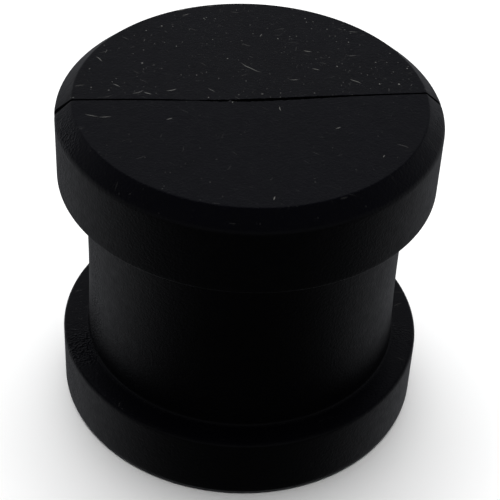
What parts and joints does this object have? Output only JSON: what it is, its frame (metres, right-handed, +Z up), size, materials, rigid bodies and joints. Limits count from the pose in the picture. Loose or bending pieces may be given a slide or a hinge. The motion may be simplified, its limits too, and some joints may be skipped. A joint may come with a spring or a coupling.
{
  "type": "desk grommet",
  "caption": "Split rubber spool with a chamfered top flange that lines a cable hole in a desk top; flexible lips close its top around the cables.",
  "frame": {"origin": "on the spool's axis, at the underside of the base flange", "axes": "+Z up the spool's axis to the top flange, X along the slit, -Y towards the front half"},
  "size_m": [0.06, 0.06, 0.0569],
  "materials": {
    "black_rubber": "matte"
  },
  "bodies": {
    "rear_half": {"rear_half": "black_rubber"},
    "front_half": {"front_half": "black_rubber"},
    "rear_lip": {"rear_lip": "black_rubber"},
    "front_lip": {"front_lip": "black_rubber"}
  },
  "joints": [
    {"name": "halves_part", "type": "slide", "parent": "rear_half", "child": "front_half", "axis": [0, -1, 0], "range_m": [0, 0.04]},
    {"name": "front_lip_bend", "type": "hinge", "parent": "front_half", "child": "front_lip", "pos_m": [0, -0.012, 0.05525], "axis": [1, 0, 0], "range_deg": [-40, 30], "stiffness_Nm_per_rad": 0.06},
    {"name": "rear_lip_bend", "type": "hinge", "parent": "rear_half", "child": "rear_lip", "pos_m": [0, 0.012, 0.05525], "axis": [-1, 0, 0], "range_deg": [-40, 30], "stiffness_Nm_per_rad": 0.06}
  ]
}
